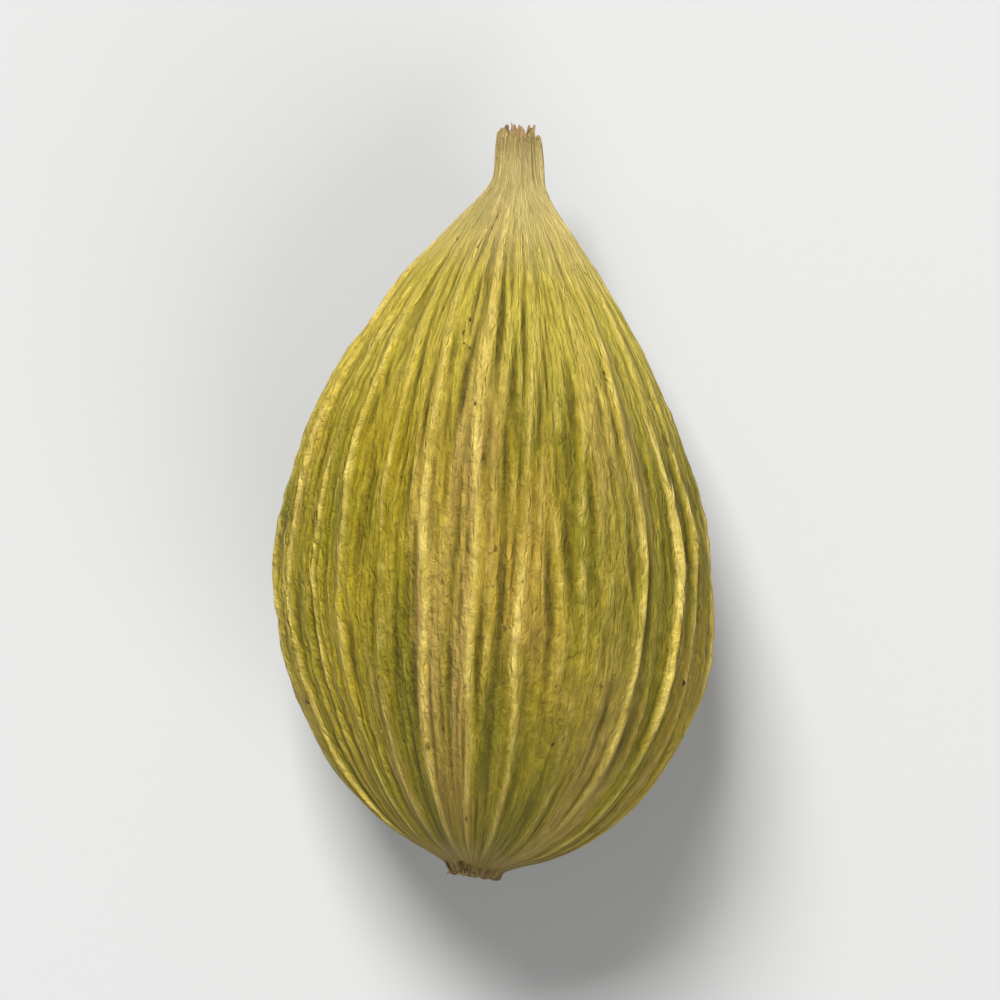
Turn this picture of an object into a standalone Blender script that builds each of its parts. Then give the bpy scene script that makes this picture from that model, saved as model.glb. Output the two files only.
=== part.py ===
"""A dried green cardamom pod, lying with its beak towards +Y and one of its three angles up.

The pod is one closed solid: a three-sided capsule with raised lengthwise ribs, a stalk scar at
its base, and a short beak that ends in the broken, hollow rim of the flower's tube.
Metres, +Z up. The origin is under the middle of the pod, on the surface that it rests on.
"""

import math

import bmesh
import bpy
from mathutils import Matrix, Vector

# Driving dimensions, in metres
POD_LENGTH = 0.0143
CAPSULE_RADIUS = 0.0041
NECK_RADIUS = 0.00070
TIP_RADIUS = 0.00040
RIM_THICKNESS = 0.00020
PIT_DEPTH = 0.00035
SCAR_RADIUS = 0.00052
SCAR_RISE = 0.00014
RIB_RISE = 0.00015
SIDE_BULGE = 0.00022
FLAT_SPOT_CUT = 0.00010

# Outline of the capsule: where it is widest and where it ends, as shares of the pod's length, and
# how it closes. A taper of 0.5 is half an ellipse, and a greater one is more pointed.
CAPSULE_END = 0.95
BEAK_FROM = 0.7
WIDEST_AT = 0.37
BASE_TAPER = 0.53
BEAK_TAPER = 0.98

# Cross-section: three blunt angles, with bulging sides between them
ANGLES = 3
ANGLE_RISE = 0.075
ANGLE_SHARPNESS = 0.016
HEIGHT_SHARE = 0.94
RIBS_PER_SIDE = 8
RIBS = ANGLES * RIBS_PER_SIDE
UPPER_ANGLE = math.radians(82)

# How the pod lies: its rings lean, and its beak dips until its weight is over the resting spot
RING_LEAN = 0.10
BEAK_DIP = math.radians(4.5)
REST_AT = 0.43
REST_REACH = 0.17
UNDERSIDE = math.radians(270)
REST_SPREAD = math.radians(34)

# The mesh: columns round the pod for each rib, and rings along it
COLUMNS_PER_RIB = 4
BODY_RINGS = 30
NECK_RINGS = 4
RIM_RINGS = 4
FIRST_BODY_RING = 0.012
NECK_START = 0.90


def clamp(value, low=0.0, high=1.0):
    return min(max(value, low), high)


def smooth_max(a, b, power=3):
    """The larger of two radii, with a fillet where they are alike."""
    return (a**power + b**power) ** (1 / power)


def capsule_radius(u):
    """Radius of the swollen capsule at the share u of the pod's length from its base."""
    if u < WIDEST_AT:
        away = (WIDEST_AT - u) / WIDEST_AT
        return CAPSULE_RADIUS * (1 - min(away, 1) ** 2) ** BASE_TAPER
    away = (u - WIDEST_AT) / (CAPSULE_END - WIDEST_AT)
    return CAPSULE_RADIUS * (1 - min(away, 1) ** 2) ** BEAK_TAPER


def neck_radius(u):
    """Radius of the beak, which narrows towards its tip and fades out inside the capsule."""
    up = clamp((u - BEAK_FROM) / (1 - BEAK_FROM))
    return NECK_RADIUS * up**0.25 - (NECK_RADIUS - TIP_RADIUS) * up**2


def outline():
    """(share of the length, radius) of each ring, from the stalk scar to the floor of the beak's pit."""
    scar = SCAR_RISE / POD_LENGTH
    rings = [(-0.6 * scar, 0), (-scar, 0.55 * SCAR_RADIUS), (-0.8 * scar, SCAR_RADIUS)]
    shares = []
    for i in range(BODY_RINGS):
        # The rings stand closer together at the round base, where the wall turns fastest.
        shares.append(FIRST_BODY_RING + (NECK_START - FIRST_BODY_RING) * (i / BODY_RINGS) ** 1.45)
    for i in range(NECK_RINGS):
        shares.append(NECK_START + (1 - NECK_START) * i / NECK_RINGS)
    rings += [(u, smooth_max(capsule_radius(u), neck_radius(u))) for u in shares]
    half_rim = RIM_THICKNESS / 2
    middle = neck_radius(1) - half_rim
    for i in range(RIM_RINGS + 1):
        turn = math.pi * i / RIM_RINGS
        rings.append((1 + half_rim * math.sin(turn) / POD_LENGTH, middle + half_rim * math.cos(turn)))
    pit = PIT_DEPTH / POD_LENGTH
    rings.append((1 - pit, middle - half_rim))
    rings.append((1 - 1.2 * pit, 0))
    return rings


def meridian(turn, u):
    """Direction in which the wall faces on one of the pod's lengthwise lines, which wander a little."""
    uneven = 0.045 * math.sin(2 * turn + 0.9) + 0.020 * math.sin(5 * turn + 2.0 + 2.4 * u)
    wander = 0.012 * math.sin(9 * turn + 5.0 * u) + 0.05 * (u - 0.5)
    return UPPER_ANGLE + turn + uneven + wander


def belly(u):
    """1 along the swollen part, falling to 0 at the stalk scar and at the beak."""
    return clamp(u / 0.12) ** 0.5 * clamp((CAPSULE_END - u) / 0.28)


def resting(direction, u):
    """1 in the middle of the patch that the pod lies on, 0 away from it."""
    off = (direction - UNDERSIDE + math.pi) % math.tau - math.pi
    return math.exp(-((off / REST_SPREAD) ** 2) - ((u - REST_AT) / REST_REACH) ** 2)


def rib_height(turn, u):
    """How far the ribs stand out here. Every other rib is lower, and those on the angles are strongest."""
    crest = (0.5 + 0.5 * math.cos(RIBS * turn)) ** 1.8
    own = 0.70 + 0.18 * math.cos(RIBS * turn / 2) + 0.20 * math.sin(7 * turn + 1.0 + 2.5 * u)
    on_angle = 0.40 * (0.5 + 0.5 * math.cos(ANGLES * turn)) ** 8
    fade = clamp(u / 0.10) * clamp((1.0 - u) / 0.18)
    return RIB_RISE * crest * (own + on_angle) * fade


def wall_point(turn, u, radius):
    """The point of the pod's wall on this lengthwise line, before the pod is laid down."""
    direction = meridian(turn, u)
    three_sided = ANGLE_RISE * math.cos(ANGLES * turn) + ANGLE_SHARPNESS * math.cos(2 * ANGLES * turn)
    swelling = 0.014 * math.sin(2 * turn + 1.9 + 3.0 * u) + 0.010 * math.sin(4 * turn + 6.0 * u)
    out = radius * (1 + belly(u) * (three_sided + swelling))
    out += rib_height(turn, u) * (1 - resting(direction, u))
    across = out * math.cos(direction)
    return Vector((
        across + SIDE_BULGE * math.sin(math.pi * clamp(u) ** 0.7),
        u * POD_LENGTH - RING_LEAN * across,
        out * math.sin(direction) * HEIGHT_SHARE,
    ))


def lay_down(shape):
    """Dips the beak, cuts the small flat spot that the pod rests on, and centres it on the origin."""
    bmesh.ops.rotate(shape, verts=shape.verts, matrix=Matrix.Rotation(-BEAK_DIP, 3, "X"))
    floor = min(vertex.co.z for vertex in shape.verts) + FLAT_SPOT_CUT
    cut = bmesh.ops.bisect_plane(
        shape,
        geom=shape.verts[:] + shape.edges[:] + shape.faces[:],
        dist=1e-7,
        plane_co=(0, 0, floor),
        plane_no=(0, 0, 1),
        clear_inner=True,
    )
    edges = [part for part in cut["geom_cut"] if isinstance(part, bmesh.types.BMEdge)]
    bmesh.ops.edgeloop_fill(shape, edges=edges)
    xs = [vertex.co.x for vertex in shape.verts]
    ys = [vertex.co.y for vertex in shape.verts]
    middle = Vector(((min(xs) + max(xs)) / 2, (min(ys) + max(ys)) / 2, floor))
    bmesh.ops.translate(shape, verts=shape.verts, vec=-middle)


def pod_mesh():
    """A sphere whose rings take the pod's outline, and whose meridians carry its ribs."""
    rings = outline()
    last = len(rings) - 1
    shape = bmesh.new()
    bmesh.ops.create_uvsphere(shape, u_segments=RIBS * COLUMNS_PER_RIB, v_segments=last, radius=1)
    for vertex in shape.verts:
        from_top = math.acos(clamp(vertex.co.z, -1)) / math.pi
        u, radius = rings[last - round(from_top * last)]
        turn = math.atan2(vertex.co.y, vertex.co.x)
        vertex.co = wall_point(turn, u, radius)
    lay_down(shape)
    bmesh.ops.recalc_face_normals(shape, faces=shape.faces)
    mesh = bpy.data.meshes.new("pod")
    shape.to_mesh(mesh)
    shape.free()
    return mesh


def husk_material():
    """Matt, papery, olive-green husk."""
    material = bpy.data.materials.new("husk")
    material.use_nodes = True
    shader = material.node_tree.nodes["Principled BSDF"]
    shader.inputs["Base Color"].default_value = (0.36, 0.30, 0.075, 1)
    shader.inputs["Roughness"].default_value = 0.62
    shader.inputs["Metallic"].default_value = 0
    return material


def main():
    for old in list(bpy.data.objects):
        bpy.data.objects.remove(old)
    collection = bpy.data.collections.new("cardamom_pod")
    bpy.context.scene.collection.children.link(collection)
    mesh = pod_mesh()
    mesh.materials.append(husk_material())
    mesh.shade_smooth()
    mesh.set_sharp_from_angle(angle=math.radians(50))
    collection.objects.link(bpy.data.objects.new("pod", mesh))


main()
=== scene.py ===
"""The green cardamom pod's finished husk, beak and stalk scar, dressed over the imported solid.

Lengths are in metres and angles in radians. u is the share of the pod's length from its base, and
turn is the angle round the pod from the line along its upper angle.
"""
import math

import bpy
import numpy as np
from mathutils import Matrix, Vector, noise


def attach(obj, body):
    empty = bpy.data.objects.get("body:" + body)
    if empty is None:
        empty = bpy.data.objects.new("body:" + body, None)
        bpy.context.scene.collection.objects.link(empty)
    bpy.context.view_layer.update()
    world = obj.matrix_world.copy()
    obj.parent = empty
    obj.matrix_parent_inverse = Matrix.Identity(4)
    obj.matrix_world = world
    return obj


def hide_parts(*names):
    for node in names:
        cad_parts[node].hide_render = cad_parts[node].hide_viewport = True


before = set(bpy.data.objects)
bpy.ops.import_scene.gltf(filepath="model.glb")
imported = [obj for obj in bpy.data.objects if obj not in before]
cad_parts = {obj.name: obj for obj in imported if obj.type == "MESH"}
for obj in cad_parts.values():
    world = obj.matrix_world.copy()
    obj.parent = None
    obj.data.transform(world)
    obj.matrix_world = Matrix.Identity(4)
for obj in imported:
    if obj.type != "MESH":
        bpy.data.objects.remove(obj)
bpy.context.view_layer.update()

MM = 0.001
TAU = math.tau

# Driving dimensions of the pod, as in its solid
POD_LENGTH = 14.3 * MM
CAPSULE_RADIUS = 4.1 * MM
NECK_RADIUS = 0.70 * MM
TIP_RADIUS = 0.40 * MM
RIM_THICKNESS = 0.20 * MM
SCAR_RADIUS = 0.52 * MM
SCAR_RISE = 0.14 * MM
RIB_RISE = 0.15 * MM
SIDE_BULGE = 0.22 * MM
FLAT_SPOT_CUT = 0.10 * MM
CAPSULE_END = 0.95
BEAK_FROM = 0.7
WIDEST_AT = 0.37
BASE_TAPER = 0.53
BEAK_TAPER = 0.98
ANGLES = 3
ANGLE_RISE = 0.075
ANGLE_SHARPNESS = 0.016
HEIGHT_SHARE = 0.94
RIBS = 24
COLUMNS_PER_RIB = 4
SOLID_BODY_RINGS = 30
UPPER_ANGLE = math.radians(82)
RING_LEAN = 0.10
BEAK_DIP = math.radians(4.5)
REST_AT = 0.43
REST_REACH = 0.17
UNDERSIDE = math.radians(270)
REST_SPREAD = math.radians(34)

# The view: how far the pod leans in the photo, seen from above, how much of the picture's height it
# takes in the render, and how high over the floor it is widest
LEAN = math.radians(3.4)
SHARE_OF_PICTURE = 0.74
WIDEST_LEVEL = 4 * MM

# The fine husk: columns round it, and rings along each stretch of it
COLUMNS = 640
BODY_RINGS = 102
NECK_RINGS = 14
NECK_START = 0.90
FIRST_BODY_RING = 0.012

# How far the husk has shrunk between its ribs, and the wall and depth of the beak's torn end
SHRINKAGE = 0.10 * MM
TORN_WALL = 0.09 * MM
TORN_DEPTH = 0.75 * MM

# Ribs that stand out more, or less, than the rest. Rib 0 is the one on the upper angle, and the
# pale one near the pod's right edge is rib 21.
STANDING_OUT = {2: 0.30, 21: 0.60, 22: -0.45}

# Share of the pod's length over which a rib rises from nothing at either end
RIB_FADE = 0.09

# How far each kind of fine relief reaches
WRINKLE_RISE = 0.085 * MM
FIBRE_RISE = 0.040 * MM
THREAD_RISE = 0.020 * MM
PUCKER_RISE = 0.050 * MM
RUNG_RISE = 0.050 * MM
PIMPLE_RISE = 0.018 * MM
DENT_DEPTH = 0.08 * MM
FURROW_DEPTH = 0.12 * MM
LUMP_RISE = 0.04 * MM
BEAK_FOLD = 0.060 * MM
TORN_REACH = 0.30 * MM
SCAR_KNOT = 0.035 * MM
SCAR_ROUGHNESS = 0.06 * MM

# Hollows and proud places are found against the surface averaged over so many columns. A hollow this
# deep gets all of its painted shade, and a crest this high gets all of its paler colour, which is partly
# rubbed wear and partly painted highlight.
AVERAGED_OVER = 9
FULL_HOLLOW = 0.05 * MM
FULL_CREST = 0.06 * MM

rng = np.random.RandomState(7)


def smoothstep(x, low, high):
    t = np.clip((x - low) / (high - low), 0, 1)
    return t * t * (3 - 2 * t)


def wrapped(angle):
    """The same angle between -pi and pi."""
    return (angle + math.pi) % TAU - math.pi


def bump(x, width):
    """A smooth hump, 1 at x = 0."""
    return np.exp(-((x / width) ** 2))


# The pod's form, by the same formulas as its solid


def capsule_radius(u):
    below = np.clip((WIDEST_AT - u) / WIDEST_AT, 0, 1)
    above = np.clip((u - WIDEST_AT) / (CAPSULE_END - WIDEST_AT), 0, 1)
    return CAPSULE_RADIUS * (1 - below**2) ** BASE_TAPER * (1 - above**2) ** BEAK_TAPER


def neck_radius(u):
    up = np.clip((u - BEAK_FROM) / (1 - BEAK_FROM), 0, 1)
    return NECK_RADIUS * up**0.25 - (NECK_RADIUS - TIP_RADIUS) * up**2


def body_radius(u):
    return (capsule_radius(u) ** 3 + neck_radius(u) ** 3) ** (1 / 3)


def meridian(turn, u):
    uneven = 0.045 * np.sin(2 * turn + 0.9) + 0.020 * np.sin(5 * turn + 2.0 + 2.4 * u)
    wander = 0.012 * np.sin(9 * turn + 5.0 * u) + 0.05 * (u - 0.5)
    return UPPER_ANGLE + turn + uneven + wander


def belly(u):
    return np.clip(u / 0.12, 0, 1) ** 0.5 * np.clip((CAPSULE_END - u) / 0.28, 0, 1)


def resting(direction, u):
    """1 in the middle of the patch that the pod lies on, 0 away from it."""
    return bump(wrapped(direction - UNDERSIDE), REST_SPREAD) * bump(u - REST_AT, REST_REACH)


def solid_rib_height(turn, u):
    crest = (0.5 + 0.5 * np.cos(RIBS * turn)) ** 1.8
    own = 0.70 + 0.18 * np.cos(RIBS * turn / 2) + 0.20 * np.sin(7 * turn + 1.0 + 2.5 * u)
    on_angle = 0.40 * (0.5 + 0.5 * np.cos(ANGLES * turn)) ** 8
    fade = np.clip(u / 0.10, 0, 1) * np.clip((1.0 - u) / 0.18, 0, 1)
    return RIB_RISE * crest * (own + on_angle) * fade


def wall_points(turn, u, radius, raised):
    """Points of the wall, with `raised` added to its radius, before the pod is laid down."""
    direction = meridian(turn, u)
    three_sided = ANGLE_RISE * np.cos(ANGLES * turn) + ANGLE_SHARPNESS * np.cos(2 * ANGLES * turn)
    swelling = 0.014 * np.sin(2 * turn + 1.9 + 3.0 * u) + 0.010 * np.sin(4 * turn + 6.0 * u)
    out = radius * (1 + belly(u) * (three_sided + swelling)) + raised
    across = out * np.cos(direction)
    x = across + SIDE_BULGE * np.sin(math.pi * np.clip(u, 0, 1) ** 0.7)
    y = u * POD_LENGTH - RING_LEAN * across
    z = out * np.sin(direction) * HEIGHT_SHARE
    return np.stack(np.broadcast_arrays(x, y, z), axis=-1)


def dipped(points):
    """The points turned so that the beak dips towards what the pod rests on."""
    turned = np.array(Matrix.Rotation(-BEAK_DIP, 3, "X"))
    return points @ turned.T


def solid_place():
    """The shift that centres the solid over the origin and cuts its flat spot at height 0."""
    columns = RIBS * COLUMNS_PER_RIB
    turn = (np.arange(columns) * TAU / columns)[None, :]
    steps = np.arange(SOLID_BODY_RINGS) / SOLID_BODY_RINGS
    u = FIRST_BODY_RING + (NECK_START - FIRST_BODY_RING) * steps**1.45
    u = np.append(u, [-0.8 * SCAR_RISE / POD_LENGTH, -SCAR_RISE / POD_LENGTH, 1.0])
    radius = body_radius(u)
    radius[-3:] = SCAR_RADIUS, 0.55 * SCAR_RADIUS, neck_radius(1.0) - RIM_THICKNESS / 2
    u[-1] += RIM_THICKNESS / 2 / POD_LENGTH
    u, radius = u[:, None], radius[:, None]
    raised = solid_rib_height(turn, u) * (1 - resting(meridian(turn, u), u))
    points = dipped(wall_points(turn, u, radius, raised)).reshape(-1, 3)
    low, high = points.min(0), points.max(0)
    return -np.array([(low[0] + high[0]) / 2, (low[1] + high[1]) / 2, low[2] + FLAT_SPOT_CUT])


PLACE = solid_place()


# Fine relief of the husk


class Rib:
    """One raised vein: where it runs round the pod at each u, how wide it is and how high it stands."""

    def __init__(self, start, end, rise, width, foot=0.0, first=-0.05, last=1.0):
        self.start = start
        self.end = end
        self.rise = rise
        self.width = width
        self.foot = foot
        self.first = first
        self.last = last
        self.seed = rng.uniform(0, 50)

    def turn_at(self, u):
        along = smoothstep(u, self.first, self.last)
        line = self.start + (self.end - self.start) * along
        sway = 0.022 * np.sin(7 * u + self.seed) + 0.012 * np.sin(21 * u + 2.3 * self.seed)
        return line + sway * np.clip((1.0 - u) / 0.2, 0, 1)

    def height(self, turn, u):
        """A sharp crest, on a low foot that is four times as wide."""
        uneven = 0.78 + 0.26 * np.sin(11 * u + 1.7 * self.seed) + 0.18 * np.sin(27 * u + self.seed)
        ends = smoothstep(u, self.first, self.first + RIB_FADE)
        ends = ends * smoothstep(u, self.last, self.last - RIB_FADE)
        off = np.abs(wrapped(turn - self.turn_at(u))) / self.width
        crest = (1 - self.foot) * np.exp(-off**1.3)
        return self.rise * ends * (crest * uneven + self.foot / (1 + (off / 4) ** 2))


def main_ribs():
    """The 24 ribs of the solid, of uneven strength, with those on the three angles strongest."""
    ribs = []
    for i in range(RIBS):
        turn = wrapped(TAU * i / RIBS)
        strength = 1.55 + 0.26 * (-1) ** i + rng.uniform(-0.55, 0.45)
        if i % (RIBS // ANGLES) == 0:
            strength += 0.15
        strength += STANDING_OUT.get(i, 0.0)
        shift = rng.uniform(-0.03, 0.03)
        width = rng.uniform(0.016, 0.026)
        ribs.append(Rib(turn + shift, turn - shift, RIB_RISE * strength, width, foot=0.36))
    return ribs


def side_ribs():
    """Thin veins between the ribs: some run beside them, and some branch across to the next one."""
    ribs = []
    for i in range(RIBS):
        for _ in range(4):
            start = TAU * (i + rng.uniform(0.18, 0.82)) / RIBS
            first = rng.uniform(-0.05, 0.45)
            last = rng.uniform(0.60, 1.0)
            rise = RIB_RISE * rng.uniform(0.20, 0.52)
            width = rng.uniform(0.009, 0.014)
            end = start + rng.uniform(-0.07, 0.07)
            ribs.append(Rib(start, end, rise, width, first=first, last=last))
        if rng.uniform() < 0.7:
            start = TAU * i / RIBS
            end = start + TAU / RIBS * rng.choice([-1, 1])
            first = rng.uniform(0.1, 0.6)
            last = first + rng.uniform(0.16, 0.34)
            rise = RIB_RISE * rng.uniform(0.25, 0.45)
            ribs.append(Rib(start, end, rise, 0.012, first=first, last=last))
    return ribs


def noise_at(points, stretch, offset):
    """Smooth noise, about -1 to 1, at points in millimetres, each axis scaled by its own stretch."""
    scaled = points.reshape(-1, 3) * np.array(stretch) + offset
    values = [noise.noise(Vector(p)) for p in scaled]
    return np.array(values).reshape(points.shape[:-1])


def creased(field, sharpness=2.6):
    """Noise turned into a net of sharp crests, 1 along each crest and 0 between them."""
    return 1 - np.clip(sharpness * np.abs(field), 0, 1)


def curve_through(points, steps):
    """Points on a smooth curve through the given ones, with so many steps from each to the next."""
    points = np.array(points, float)
    padded = np.vstack([2 * points[0] - points[1], points, 2 * points[-1] - points[-2]])
    curve = []
    for i in range(len(points) - 1):
        p0, p1, p2, p3 = padded[i:i + 4]
        for t in np.arange(steps) / steps:
            curve.append(0.5 * (2 * p1 + (p2 - p0) * t + (2 * p0 - 5 * p1 + 4 * p2 - p3) * t**2
                                + (3 * p1 - p0 - 3 * p2 + p3) * t**3))
    curve.append(points[-1])
    return np.array(curve)


def husk_outline():
    """u, radius, and how much each ring belongs to the torn edge and to the pit inside it."""
    base = curve_through([
        (-0.063 * MM, 0),
        (-0.090 * MM, 0.35 * SCAR_RADIUS),
        (-SCAR_RISE, 0.70 * SCAR_RADIUS),
        (-0.145 * MM, 0.89 * SCAR_RADIUS),
        (-0.110 * MM, 1.01 * SCAR_RADIUS),
        (-0.040 * MM, 1.09 * SCAR_RADIUS),
        (0.030 * MM, 1.27 * SCAR_RADIUS),
        (FIRST_BODY_RING * POD_LENGTH, float(body_radius(FIRST_BODY_RING))),
    ], 3)
    base_u = base[:, 0] / POD_LENGTH
    steps = np.arange(1, BODY_RINGS) / BODY_RINGS
    body = FIRST_BODY_RING + (NECK_START - FIRST_BODY_RING) * steps**1.25
    neck = NECK_START + (1 - NECK_START) * np.arange(NECK_RINGS) / NECK_RINGS
    body = np.append(body, neck)
    outer = float(neck_radius(1.0))
    half_wall = TORN_WALL / 2
    arc = np.linspace(0, math.pi, 6)
    rim_u = 1 + half_wall * np.sin(arc) / POD_LENGTH
    rim_radius = outer - half_wall + half_wall * np.cos(arc)
    pit_u = 1 - TORN_DEPTH / POD_LENGTH * np.array([0.12, 0.3, 0.5, 0.7, 0.85, 0.95, 1.0, 1.02])
    pit_radius = (outer - TORN_WALL) * np.array([1, 0.98, 0.94, 0.88, 0.78, 0.6, 0.32, 0])
    u = np.concatenate([base_u, body, rim_u, pit_u])
    radius = np.concatenate([base[:, 1], body_radius(body), rim_radius, pit_radius])
    edge = np.concatenate([
        np.zeros(len(base)),
        smoothstep(body, 0.950, 1.0),
        np.ones(len(rim_u)),
        np.linspace(1, 0, len(pit_u)) ** 0.6,
    ])
    depth = np.concatenate([
        np.zeros(len(base) + len(body)),
        np.linspace(0, 0.35, len(rim_u)),
        np.linspace(0.45, 1, len(pit_u)),
    ])
    return u, radius, edge, depth


def blurred(field, reach):
    """The field averaged over so many columns to each side, and a third as many rings."""
    for axis, steps in ((1, reach), (0, max(reach // 3, 1))):
        total = np.zeros_like(field)
        weights = 0
        for step in range(-steps, steps + 1):
            weight = math.exp(-2 * (step / steps) ** 2)
            total += weight * np.roll(field, step, axis=axis)
            weights += weight
        field = total / weights
    return field


def flow_of(turn, u):
    """Millimetres round and along a plain tube, so that patterns follow the pod's lengthwise lines."""
    around = CAPSULE_RADIUS / MM
    return np.stack(np.broadcast_arrays(
        around * np.cos(turn), POD_LENGTH / MM * u, around * np.sin(turn)
    ), axis=-1)


def veins(turn, u):
    """Height of all the ribs and veins, and how much each point lies on a crest, from 0 to 1."""
    high = np.zeros(np.broadcast(turn, u).shape)
    for rib in main_ribs():
        high = np.maximum(high, rib.height(turn, u))
    fine = np.zeros_like(high)
    for rib in side_ribs():
        fine = np.maximum(fine, rib.height(turn, u))
    crest = np.clip(np.maximum(high, 1.6 * fine) / (1.35 * RIB_RISE), 0, 1)
    return high + fine, crest


def lengthwise_relief(flow, crest):
    """Wrinkles between the crests, and fibres and threads all over."""
    wrinkles = creased(noise_at(flow, (1.5, 0.22, 1.5), 41.0))
    fibres = creased(noise_at(flow, (4.0, 0.45, 4.0), 23.0), 2.0)
    threads = creased(noise_at(flow, (6.5, 0.55, 6.5), 37.0), 2.0)
    return WRINKLE_RISE * wrinkles * (1 - crest) + FIBRE_RISE * fibres + THREAD_RISE * threads


def crosswise_relief(in_mm, turn, u, crest):
    """Puckers between the crests, pimples all over, and rungs across the upper angle's lower half."""
    puckers = creased(noise_at(in_mm, (0.9, 2.4, 0.9), 5.3))
    pimples = noise_at(in_mm, (3.0, 3.0, 3.0), 29.0)
    rungs = creased(noise_at(in_mm, (0.35, 1.5, 0.35), 53.0))
    rungs = rungs * bump(wrapped(turn), 0.17) * bump(u - 0.24, 0.15)
    return PUCKER_RISE * puckers * (1 - crest) + PIMPLE_RISE * pimples + RUNG_RISE * rungs


def unevenness(in_mm, flow):
    """Broad dents and lumps, and long furrows."""
    dents = noise_at(in_mm, (0.35, 0.20, 0.35), 3.1)
    furrows = noise_at(flow, (0.70, 0.14, 0.70), 17.0)
    lumps = noise_at(in_mm, (0.9, 0.6, 0.9), 11.7)
    return DENT_DEPTH * dents + FURROW_DEPTH * furrows + LUMP_RISE * lumps


def beak_folds(flow, turn, u, depth):
    """Lengthwise folds of the beak, which run on into its pit and are half as strong at its bottom."""
    folds = creased(noise_at(flow, (0.75, 0.10, 0.75), 61.0), 2.2) - 0.5
    folds += 0.5 * creased(noise_at(flow, (2.2, 0.16, 2.2), 67.0), 2.2)
    folds += 0.9 * np.sin(3 * turn + 0.4) + 0.5 * np.sin(5 * turn + 2.0)
    return BEAK_FOLD * folds * smoothstep(u, 0.87, 0.98) * (1 - 0.5 * depth)


def torn_edge(flow):
    """How far the torn edge of the beak reaches on each lengthwise line."""
    broad = noise_at(flow, (0.55, 0.0, 0.55), 71.0)
    narrow = noise_at(flow, (1.9, 0.0, 1.9), 73.0)
    return TORN_REACH * (broad + 0.7 * narrow - 0.35)


def scar_rim(flow, turn, u, radius):
    """Knots round the rim of the stalk scar."""
    knots = np.sin(3 * turn + 1.0) + 0.6 * np.sin(7 * turn + 2.0)
    knots = knots + 2.0 * noise_at(flow, (0.9, 0.0, 0.9), 79.0)
    rim = bump(radius - SCAR_RADIUS, 0.22 * MM) * smoothstep(u, 0.020, 0.004)
    return SCAR_KNOT * knots * rim


def scar_face(in_mm, u):
    """How far the broken, fibrous face of the stalk scar stands out."""
    broken = creased(noise_at(in_mm, (6.0, 6.0, 6.0), 83.0), 2.0) - 0.4
    broken += 1.8 * noise_at(in_mm, (2.4, 2.4, 2.4), 89.0)
    return SCAR_ROUGHNESS * broken * smoothstep(u, 0.006, -0.003)


def fresh_patches(turn, u):
    """1 where the husk has stayed green: a patch on each flank."""
    right = bump(wrapped(turn + 0.54), 0.27) * bump(u - 0.38, 0.20)
    left = bump(wrapped(turn - 1.15), 0.22) * bump(u - 0.45, 0.18)
    return right + 0.85 * left


class Husk:
    """The husk's surface as a grid: rings from the base to the beak's pit, and columns round it."""

    def __init__(self):
        u, radius, edge, depth = husk_outline()
        self.ring_shares = u
        u, radius, edge, depth = (a[:, None] for a in (u, radius, edge, depth))
        turn = (np.arange(COLUMNS) * TAU / COLUMNS)[None, :]
        rest = resting(meridian(turn, u), u)

        # The relief fades in the pit, at both ends, where the pod is slender, and where it rests.
        on_wall = np.clip(radius / (0.5 * MM), 0, 1) * (1 - depth)
        ends = np.clip(u / 0.03, 0, 1) ** 0.35 * np.clip((1.0 - u) / 0.14, 0, 1) ** 0.6
        slender = np.clip(radius / CAPSULE_RADIUS, 0, 1) ** 0.6

        in_mm = wall_points(turn, u, radius, 0.0) / MM
        flow = flow_of(turn, u)
        ribs, crest = veins(turn, u)
        # What runs lengthwise also sets the painted shade in the hollows and the paler crests, so it is
        # kept apart from the crosswise relief.
        lengthwise = ribs + lengthwise_relief(flow, crest)
        raised = lengthwise + crosswise_relief(in_mm, turn, u, crest) + unevenness(in_mm, flow)
        raised = (raised - SHRINKAGE) * on_wall * ends * slender * (1 - rest)
        folds = beak_folds(flow, turn, u, depth)
        raised += folds + scar_rim(flow, turn, u, radius)

        points = wall_points(turn, u, radius, raised)
        points[..., 1] += torn_edge(flow) * edge - scar_face(in_mm, u)
        points = dipped(points) + PLACE
        points[..., 2] = np.maximum(points[..., 2], 0)
        self.points = points

        lengthwise += folds
        hollow = blurred(lengthwise, AVERAGED_OVER) - lengthwise
        self.values = {
            "rib": crest * on_wall * ends,
            # hollow sets where shade is painted; proud sets the paler crests, partly rubbed wear and
            # partly painted highlight
            "hollow": np.clip(hollow / FULL_HOLLOW, 0, 1) * on_wall * (1 - rest),
            "proud": np.clip(-hollow / FULL_CREST, 0, 1) * on_wall * (1 - rest),
            "share": np.broadcast_to(u, hollow.shape),
            "pit": np.broadcast_to(depth, hollow.shape),
            "upper": bump(wrapped(turn - 0.05), 0.22) * bump(u - 0.40, 0.16),
            "fresh": fresh_patches(turn, u),
            "flow": flow,
        }

    def at(self, turn, u):
        """The surface point at this turn and u on the pod's outer wall."""
        lowest = int(np.argmin(self.ring_shares))
        outermost = int(np.argmax(self.ring_shares))
        row = np.interp(u, self.ring_shares[lowest:outermost], np.arange(lowest, outermost))
        column = turn % TAU / TAU * COLUMNS
        i, j = int(row), int(column) % COLUMNS
        a, b = row - i, column - int(column)
        k = (j + 1) % COLUMNS
        low = self.points[i, j] * (1 - b) + self.points[i, k] * b
        up = self.points[i + 1, j] * (1 - b) + self.points[i + 1, k] * b
        return low * (1 - a) + up * a

    def piece(self, material):
        husk = closed_grid("husk", self.points, self.values)
        dress(husk, material)
        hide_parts("pod")


def dress(piece, material):
    """Gives a piece its material and the record's slot, and fixes it to the pod."""
    piece.data.materials.append(material)
    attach(piece, "root")


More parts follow.
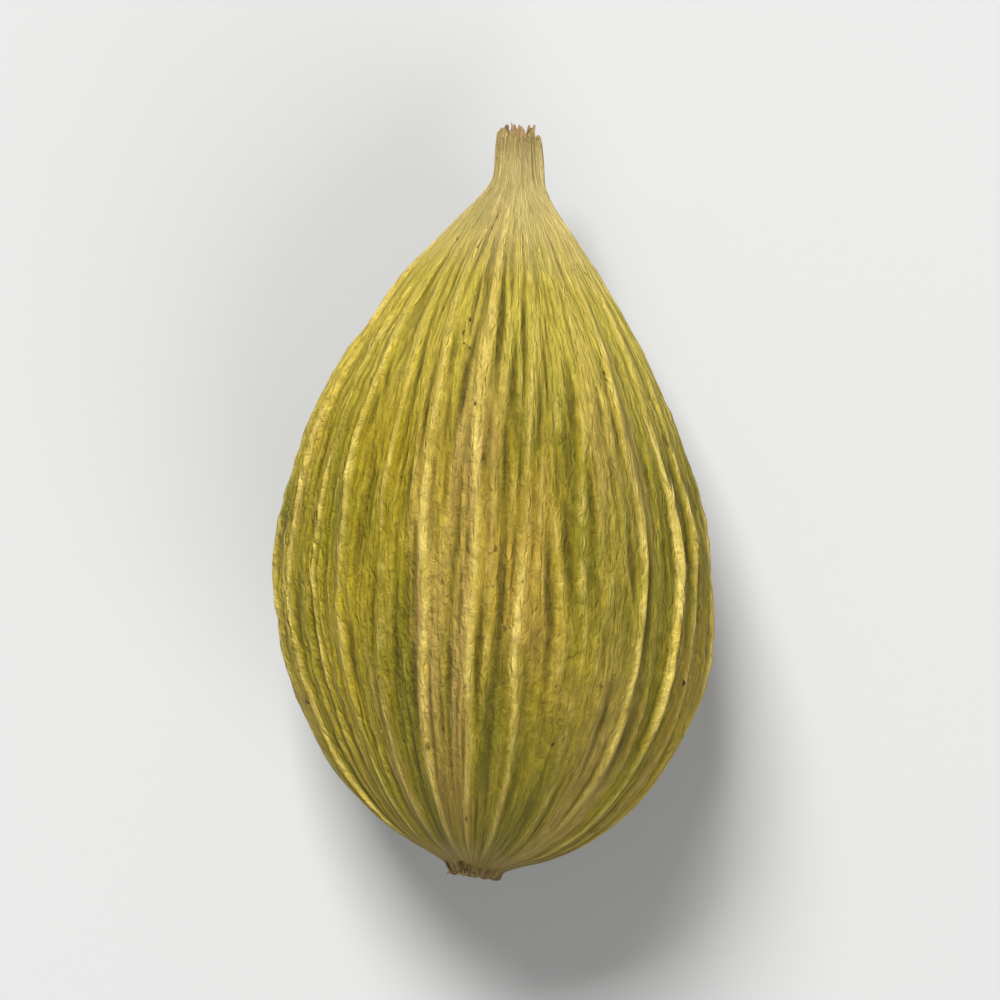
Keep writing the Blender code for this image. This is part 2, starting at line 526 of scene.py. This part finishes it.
def closed_grid(name, points, values):
    """A mesh of closed rings whose first and last rings have shrunk to points."""
    rings, columns = points.shape[:2]
    vertices = [tuple(points[0, 0])]
    vertices += [tuple(p) for p in points[1:-1].reshape(-1, 3)]
    vertices.append(tuple(points[-1, 0]))
    faces = []
    last = len(vertices) - 1
    top = 1 + (rings - 3) * columns
    for j in range(columns):
        k = (j + 1) % columns
        faces.append((0, 1 + j, 1 + k))
        faces.append((last, top + k, top + j))
        for i in range(rings - 3):
            low = 1 + i * columns
            faces.append((low + j, low + columns + j, low + columns + k, low + k))
    mesh = bpy.data.meshes.new(name)
    mesh.from_pydata(vertices, [], faces)
    for label, grid in values.items():
        depth = grid.shape[2:]
        flat = np.concatenate([grid[0, :1], grid[1:-1].reshape(-1, *depth), grid[-1, :1]])
        kind, field = ("FLOAT_VECTOR", "vector") if depth else ("FLOAT", "value")
        attribute = mesh.attributes.new(label, kind, "POINT")
        attribute.data.foreach_set(field, flat.astype(np.float32).ravel())
    mesh.shade_smooth()
    piece = bpy.data.objects.new(name, mesh)
    bpy.context.scene.collection.objects.link(piece)
    return piece


# Small loose parts: torn fibres, and the dry tube inside the beak


def strand(route, radius, sides=6):
    """Points of a tapered fibre along a route, as rings that are smallest at both ends."""
    route = curve_through(route, 4)
    rings = []
    for i, place in enumerate(route):
        ahead = Vector(route[min(i + 1, len(route) - 1)] - route[max(i - 1, 0)]).normalized()
        side = ahead.cross(Vector((0.3, 0.2, 0.93))).normalized()
        other = ahead.cross(side)
        share = i / (len(route) - 1)
        size = radius * min(1.0, 6 * share + 0.12) * min(1.0, 2.5 * (1 - share) + 0.05) ** 0.7
        ring = []
        for k in range(sides):
            angle = TAU * k / sides
            ring.append(place + size * np.array(side * math.cos(angle) + other * math.sin(angle)))
        rings.append(ring)
    return np.array(rings)


def strands_piece(name, strands, material):
    """One mesh of many fibres, each closed at both ends."""
    vertices, faces = [], []
    for rings in strands:
        count, sides = rings.shape[:2]
        first = len(vertices)
        vertices += [tuple(p) for p in rings.reshape(-1, 3)]
        for i in range(count - 1):
            for k in range(sides):
                a = first + i * sides + k
                b = first + i * sides + (k + 1) % sides
                faces.append((a, b, b + sides, a + sides))
        faces.append(tuple(first + k for k in reversed(range(sides))))
        faces.append(tuple(first + (count - 1) * sides + k for k in range(sides)))
    mesh = bpy.data.meshes.new(name)
    mesh.from_pydata(vertices, [], faces)
    mesh.shade_smooth()
    piece = bpy.data.objects.new(name, mesh)
    bpy.context.scene.collection.objects.link(piece)
    dress(piece, material)


def frayed_fibres(husk, material):
    """Slivers that have come loose from the ribs, lying along them with one end lifted.

    Each is lifted away from the pod's axis, and none starts near the floor.
    """
    on_axis = np.array([0, 0, 3.6 * MM])
    lowest = 0.8 * MM
    strands = []
    for _ in range(22):
        turn = TAU * rng.randint(RIBS) / RIBS + rng.uniform(-0.04, 0.04)
        u = rng.uniform(0.10, 0.84)
        length = rng.uniform(0.03, 0.09)
        lift = rng.uniform(0.03, 0.09) * MM
        drift = rng.uniform(-0.05, 0.05)
        route = []
        for share in np.linspace(0, 1, 5):
            place = husk.at(turn + drift * share**2, u + length * share)
            out = place - on_axis
            out[1] = 0
            out /= np.linalg.norm(out)
            route.append(place + out * (lift * share**2 - 0.012 * MM))
        if route[0][2] > lowest:
            strands.append(strand(route, rng.uniform(0.012, 0.022) * MM))
    strands_piece("frayed_fibres", strands, material)


def place_on_pod(x, u, z):
    """A point given in the pod's own frame, before it was laid down."""
    return dipped(np.array([x, u * POD_LENGTH, z])) + PLACE


def stalk_fibres(material):
    """Broken ends of the fibres that ran from the stalk into the pod, standing on its scar."""
    strands = []
    for _ in range(120):
        angle = rng.uniform(0, TAU)
        away = SCAR_RADIUS * 0.90 * rng.uniform(0.02, 1) ** 0.42
        x, z = away * math.cos(angle), away * math.sin(angle)
        length = rng.uniform(0.05, 0.15) * MM
        lean_x, lean_z = rng.uniform(-0.6, 0.6, 2) * length
        route = []
        for share in (0, 0.4, 0.75, 1):
            reach = -0.35 * SCAR_RISE - share * length
            place = (x + lean_x * share**2 + x * 0.15 * share, reach / POD_LENGTH, z + lean_z * share**2)
            route.append(place_on_pod(*place))
        strands.append(strand(route, rng.uniform(0.010, 0.022) * MM))
    strands_piece("stalk_fibres", strands, material)


def flower_tube(material):
    """The dry, torn tube of the flower, which stands a little out of the beak."""
    columns = 120
    turn = (np.arange(columns) * TAU / columns)[None, :]
    room = neck_radius(1.0) - TORN_WALL
    wall = 0.035 * MM
    foot = 0.92 * TORN_DEPTH
    outside = np.linspace(0.04, 1, 16)
    inside = np.linspace(1, 0.08, 12)
    up = np.concatenate([[0], outside, inside, [0.04]])[:, None]
    inner = np.concatenate([[0], np.zeros_like(outside), np.ones_like(inside), [1]])[:, None]
    closed = np.concatenate([[0], np.ones_like(outside), np.ones_like(inside), [0]])[:, None]
    ragged = 0.5 * np.sin(4 * turn + 0.4) + 0.5 * np.sin(9 * turn + 1.3) + 0.4 * np.sin(21 * turn)
    reach = foot + 0.10 * MM + 0.09 * MM * ragged
    y = POD_LENGTH - foot + up * reach
    folds = 0.10 * np.sin(7 * turn + 0.7) + 0.06 * np.sin(13 * turn)
    spread = 0.80 + 0.10 * up**2 + folds * up
    radius = (room * spread - wall * inner) * closed
    points = np.stack(np.broadcast_arrays(radius * np.cos(turn), y, radius * np.sin(turn)), axis=-1)
    points = dipped(points) + PLACE
    dress(closed_grid("flower_tube", points, {}), material)


# Materials


class Nodes:
    """Adds shader nodes to one material and links them."""

    def __init__(self, name, flow=False):
        self.material = bpy.data.materials.new(name)
        self.material.use_nodes = True
        self.tree = self.material.node_tree
        self.shader = self.tree.nodes["Principled BSDF"]
        if flow:
            self.place = self.add("Attribute", attribute_name="flow").outputs["Vector"]
        else:
            place = self.add("TexCoord").outputs["Object"]
            self.place = self.add("Mapping", {"Vector": place, "Scale": (1 / MM,) * 3}).outputs[0]

    def add(self, kind, inputs=(), **settings):
        node = self.tree.nodes.new("ShaderNode" + kind)
        for key, value in settings.items():
            setattr(node, key, value)
        for key, value in dict(inputs).items():
            self.fill(node.inputs[key], value)
        return node

    def fill(self, socket, value):
        """Links the socket to another one, or sets its own value."""
        if isinstance(value, bpy.types.NodeSocket):
            self.tree.links.new(value, socket)
        else:
            socket.default_value = value

    def value(self, label):
        """A number that the mesh holds at each of its points."""
        return self.add("Attribute", attribute_name=label).outputs["Fac"]

    def noise(self, scale, detail=3.0, roughness=0.5, distortion=0.0):
        """Noise of scale[0] cells a millimetre across the pod and scale[1] along it."""
        stretch = (scale[0], scale[1], scale[0])
        mapping = self.add("Mapping", {"Vector": self.place, "Scale": stretch})
        node = self.add("TexNoise", {
            "Vector": mapping.outputs[0],
            "Scale": 1.0,
            "Detail": detail,
            "Roughness": roughness,
            "Distortion": distortion,
        })
        return node.outputs["Fac"]

    def cells(self, scale):
        """A net of fine creases round long cells: 0 along each crease, 1 inside each cell."""
        stretch = (scale[0], scale[1], scale[0])
        bent = self.add("TexNoise", {"Vector": self.place, "Scale": 3.0, "Detail": 2.0}).outputs["Color"]
        bent = self.add("VectorMath", {0: bent, 1: (0.5,) * 3}, operation="SUBTRACT").outputs[0]
        bent = self.add("VectorMath", {0: bent, 1: (0.16, 0.5, 0.16)}, operation="MULTIPLY").outputs[0]
        place = self.add("VectorMath", {0: self.place, 1: bent}, operation="ADD").outputs[0]
        place = self.add("Mapping", {"Vector": place, "Scale": stretch}).outputs[0]
        node = self.add("TexVoronoi", {"Vector": place, "Scale": 1.0}, feature="DISTANCE_TO_EDGE")
        return self.between(node.outputs["Distance"], 0.0, 0.22)

    def math(self, operation, a, b=0.0):
        return self.add("Math", {0: a, 1: b}, operation=operation).outputs[0]

    def between(self, value, low, high, to_low=0.0, to_high=1.0):
        """The value mapped from low and high to to_low and to_high, and clamped to them."""
        node = self.add("MapRange", {
            "Value": value,
            "From Min": low,
            "From Max": high,
            "To Min": to_low,
            "To Max": to_high,
        })
        return node.outputs["Result"]

    def mixed(self, amount, a, b):
        """Colour a where the amount is 0, and b where it is 1."""
        node = self.add("Mix", data_type="RGBA")
        self.fill(node.inputs[0], amount)
        self.fill(node.inputs[6], a)
        self.fill(node.inputs[7], b)
        return node.outputs[2]

    def link(self, socket, value):
        """Links a value to one of the shader's own inputs."""
        self.tree.links.new(value, self.shader.inputs[socket])


def rgb(red, green, blue):
    """A colour given as it looks on screen, 0 to 255, turned to linear light."""
    return tuple((c / 255) ** 2.2 for c in (red, green, blue)) + (1.0,)


# Colours of the husk
DEEP_GREEN = rgb(98, 98, 4)
DARK_GREEN = rgb(119, 112, 4)
LIGHT_GREEN = rgb(149, 135, 12)
FRESH_GREEN = rgb(140, 129, 8)
YELLOW_GREEN = rgb(180, 157, 32)
STREAK_YELLOW = rgb(174, 152, 42)
MOTTLE_YELLOW = rgb(186, 160, 66)
SHOULDER_YELLOW = rgb(208, 188, 72)
SHOULDER_PALE = rgb(216, 196, 78)
BAND_TAN = rgb(182, 150, 82)
UPPER_TAN = rgb(168, 134, 66)
BASE_BROWN = rgb(158, 128, 56)
DARK_FIBRE = rgb(92, 80, 6)
# Painted shade for the hollows between the ribs
HOLLOW_PAINTED_SHADE = rgb(86, 74, 11)
DULL_STRAW = rgb(184, 156, 52)
PALE_STRAW = rgb(232, 208, 112)
# Paler crests: partly rubbed wear, partly painted highlight
WORN_AND_HIGHLIGHT_STRAW = rgb(220, 194, 100)
BEAK_STRAW = rgb(245, 220, 142)
DRY_TIP = rgb(164, 130, 78)
BASE_STRAW = rgb(178, 150, 84)
SCAR_DARK = rgb(116, 90, 44)
SCAR_LIGHT = rgb(190, 162, 98)
SPECK = rgb(66, 44, 18)
PIT_BROWN = rgb(60, 40, 18)

# Colours of the small parts, light and dark
FRAYED_FIBRE = rgb(186, 163, 92), rgb(152, 128, 62)
STALK_FIBRE = rgb(146, 122, 76), rgb(96, 74, 40)
FLOWER_TUBE = rgb(150, 124, 80), rgb(98, 72, 42)


def husk_material():
    """Dry olive-green husk: straw-coloured ribs, painted shade in the hollows between them, paler crests
    of rubbed wear and painted highlight, tan patches and specks.
    """
    n = Nodes("husk_surface", flow=True)
    rib = n.value("rib")
    hollow = n.value("hollow")
    proud = n.value("proud")
    share = n.value("share")
    pit = n.value("pit")

    broad = n.noise((0.22, 0.14), 2.0)
    blotch = n.noise((0.60, 0.30), 5.0, 0.65)
    streak = n.noise((4.5, 0.35), 4.0, 0.65)
    fibre = n.noise((11.0, 0.7), 4.0, 0.7)
    mottle = n.noise((6.0, 1.6), 5.0, 0.75)
    fleck = n.noise((3.6, 2.6), 3.0, 0.5)
    band = n.noise((0.95, 0.06), 2.0, 0.5)
    crumple = n.noise((5.0, 3.4), 6.0, 0.72, 0.6)
    strings = n.noise((17.0, 0.9), 3.0, 0.6)
    skin = n.cells((7.0, 1.7))

    green = n.mixed(n.between(blotch, 0.38, 0.62), DARK_GREEN, LIGHT_GREEN)
    green = n.mixed(n.between(band, 0.48, 0.38, 0.0, 0.8), green, DEEP_GREEN)
    yellow = n.mixed(n.between(broad, 0.44, 0.60), green, YELLOW_GREEN)
    yellow = n.mixed(n.between(share, 0.56, 0.78, 0.0, 0.75), yellow, SHOULDER_YELLOW)
    yellow = n.mixed(n.between(band, 0.52, 0.62, 0.0, 0.8), yellow, BAND_TAN)
    colour = n.mixed(n.between(streak, 0.45, 0.68, 0.0, 0.55), yellow, STREAK_YELLOW)
    colour = n.mixed(n.between(mottle, 0.52, 0.70, 0.0, 0.45), colour, MOTTLE_YELLOW)
    colour = n.mixed(n.between(fibre, 0.50, 0.32, 0.0, 0.45), colour, DARK_FIBRE)
    tan = n.math("MULTIPLY", n.value("upper"), n.between(blotch, 0.40, 0.58, 0.25, 0.80))
    colour = n.mixed(tan, colour, UPPER_TAN)
    brown = n.math("MULTIPLY", n.between(blotch, 0.53, 0.64), n.between(share, 0.60, 0.20, 0.0, 0.6))
    colour = n.mixed(brown, colour, BASE_BROWN)
    fresh = n.math("MULTIPLY", n.value("fresh"), n.between(fibre, 0.35, 0.62, 0.70, 0.98))
    colour = n.mixed(fresh, colour, FRESH_GREEN)
    colour = n.mixed(n.between(share, 0.56, 0.72, 0.0, 0.5), colour, SHOULDER_PALE)
    straw = n.mixed(n.between(mottle, 0.35, 0.65), DULL_STRAW, PALE_STRAW)
    on_rib = n.math("MULTIPLY", n.between(rib, 0.50, 0.95), n.between(blotch, 0.38, 0.60, 0.30, 0.95))
    colour = n.mixed(on_rib, colour, straw)
    # Paler on the proud crests: partly rubbed wear, partly painted highlight
    wear_and_highlight = n.math("MULTIPLY", proud, n.between(mottle, 0.45, 0.62, 0.15, 0.8))
    colour = n.mixed(wear_and_highlight, colour, WORN_AND_HIGHLIGHT_STRAW)
    # Painted shade: darker in the hollows between the ribs, by how deep each hollow is
    colour = n.mixed(n.between(hollow, 0.10, 0.90, 0.0, 0.85), colour, HOLLOW_PAINTED_SHADE)
    colour = n.mixed(n.between(share, 0.78, 0.93, 0.0, 0.92), colour, BEAK_STRAW)
    dry_tip = n.math("MULTIPLY", n.between(share, 0.95, 1.0), n.between(fibre, 0.60, 0.40, 0.1, 0.8))
    colour = n.mixed(dry_tip, colour, DRY_TIP)
    colour = n.mixed(n.between(share, 0.030, 0.004, 0.0, 0.6), colour, BASE_STRAW)
    scar = n.mixed(n.between(crumple, 0.40, 0.60), SCAR_DARK, SCAR_LIGHT)
    colour = n.mixed(n.between(share, 0.003, -0.003), colour, scar)
    speck = n.math("MULTIPLY", n.between(fleck, 0.68, 0.73), n.between(blotch, 0.42, 0.58))
    colour = n.mixed(speck, colour, SPECK)
    colour = n.mixed(n.between(pit, 0.4, 0.9), colour, PIT_BROWN)
    n.link("Base Color", colour)

    n.link("Roughness", n.between(mottle, 0.3, 0.7, 0.68, 0.48))
    n.shader.inputs["Specular IOR Level"].default_value = 0.26
    relief = n.math("ADD", n.math("MULTIPLY", fibre, 0.45), crumple)
    relief = n.math("ADD", n.math("MULTIPLY", strings, 0.35), relief)
    relief = n.math("ADD", n.math("MULTIPLY", skin, 0.22), relief)
    bumps = n.add("Bump", {"Strength": 1.0, "Distance": 0.24 * MM, "Height": relief})
    n.link("Normal", bumps.outputs[0])
    return n.material


def fibre_material(name, colours):
    """Dry fibre, darker in places."""
    n = Nodes(name)
    patch = n.noise((2.5, 2.0), 3.0, 0.6)
    n.link("Base Color", n.mixed(n.between(patch, 0.35, 0.65), *colours))
    n.link("Roughness", n.between(patch, 0.3, 0.7, 0.55, 0.75))
    grain = n.noise((40.0, 8.0), 2.0)
    n.link("Normal", n.add("Bump", {"Strength": 0.6, "Distance": 0.01 * MM, "Height": grain}).outputs[0])
    return n.material


def tube_material():
    """Thin, dry, brownish skin of the flower's tube."""
    n = Nodes("tube_surface")
    patch = n.noise((3.0, 1.2), 4.0, 0.6)
    n.link("Base Color", n.mixed(n.between(patch, 0.35, 0.65), *FLOWER_TUBE))
    n.link("Roughness", n.between(patch, 0.3, 0.7, 0.6, 0.8))
    grain = n.noise((22.0, 3.0), 3.0)
    n.link("Normal", n.add("Bump", {"Strength": 0.8, "Distance": 0.02 * MM, "Height": grain}).outputs[0])
    return n.material


def floor_material():
    """Plain pale grey, nearly without gloss."""
    n = Nodes("floor_surface")
    n.shader.inputs["Roughness"].default_value = 0.8
    n.shader.inputs["Specular IOR Level"].default_value = 0.2
    n.shader.inputs["Base Color"].default_value = (0.42, 0.42, 0.415, 1)
    return n.material


# Studio


def make_floor():
    half = 0.6
    corners = [(-half, -half, 0), (half, -half, 0), (half, half, 0), (-half, half, 0)]
    mesh = bpy.data.meshes.new("floor")
    mesh.from_pydata(corners, [], [(0, 1, 2, 3)])
    mesh.materials.append(floor_material())
    floor = bpy.data.objects.new("floor", mesh)
    bpy.context.scene.collection.objects.link(floor)


def make_lamp(name, place, size, power):
    """A square soft light that points at the origin, its side in metres and its power in watts."""
    data = bpy.data.lights.new(name, "AREA")
    data.size = size
    data.energy = power
    lamp = bpy.data.objects.new(name, data)
    lamp.location = place
    lamp.rotation_euler = (-Vector(place)).to_track_quat("-Z", "Y").to_euler()
    bpy.context.scene.collection.objects.link(lamp)


def make_world():
    """Faint light from all round."""
    world = bpy.data.worlds.new("studio")
    world.use_nodes = True
    shade = world.node_tree.nodes["Background"]
    shade.inputs["Color"].default_value = (0.95, 0.97, 1.0, 1)
    shade.inputs["Strength"].default_value = 0.27
    bpy.context.scene.world = world


def make_camera():
    """A long lens straight above the pod, turned so that the pod leans as it does in the photo."""
    data = bpy.data.cameras.new("camera")
    data.lens = 200
    data.clip_start = 0.001
    data.clip_end = 10
    camera = bpy.data.objects.new("camera", data)
    in_view = POD_LENGTH / SHARE_OF_PICTURE
    camera.location = (0, 0, in_view * data.lens / data.sensor_width + WIDEST_LEVEL)
    camera.rotation_euler.z = LEAN
    bpy.context.scene.collection.objects.link(camera)
    bpy.context.scene.camera = camera


husk = Husk()
husk.piece(husk_material())
frayed_fibres(husk, fibre_material("fibre_surface", FRAYED_FIBRE))
stalk_fibres(fibre_material("stalk_surface", STALK_FIBRE))
flower_tube(tube_material())
make_floor()
make_lamp("key", (-0.130, 0.318, 0.405), 0.20, 5.1)
make_lamp("fill", (0.26, -0.34, 0.34), 0.42, 2.1)
make_world()
make_camera()
bpy.context.scene.view_settings.view_transform = "Standard"
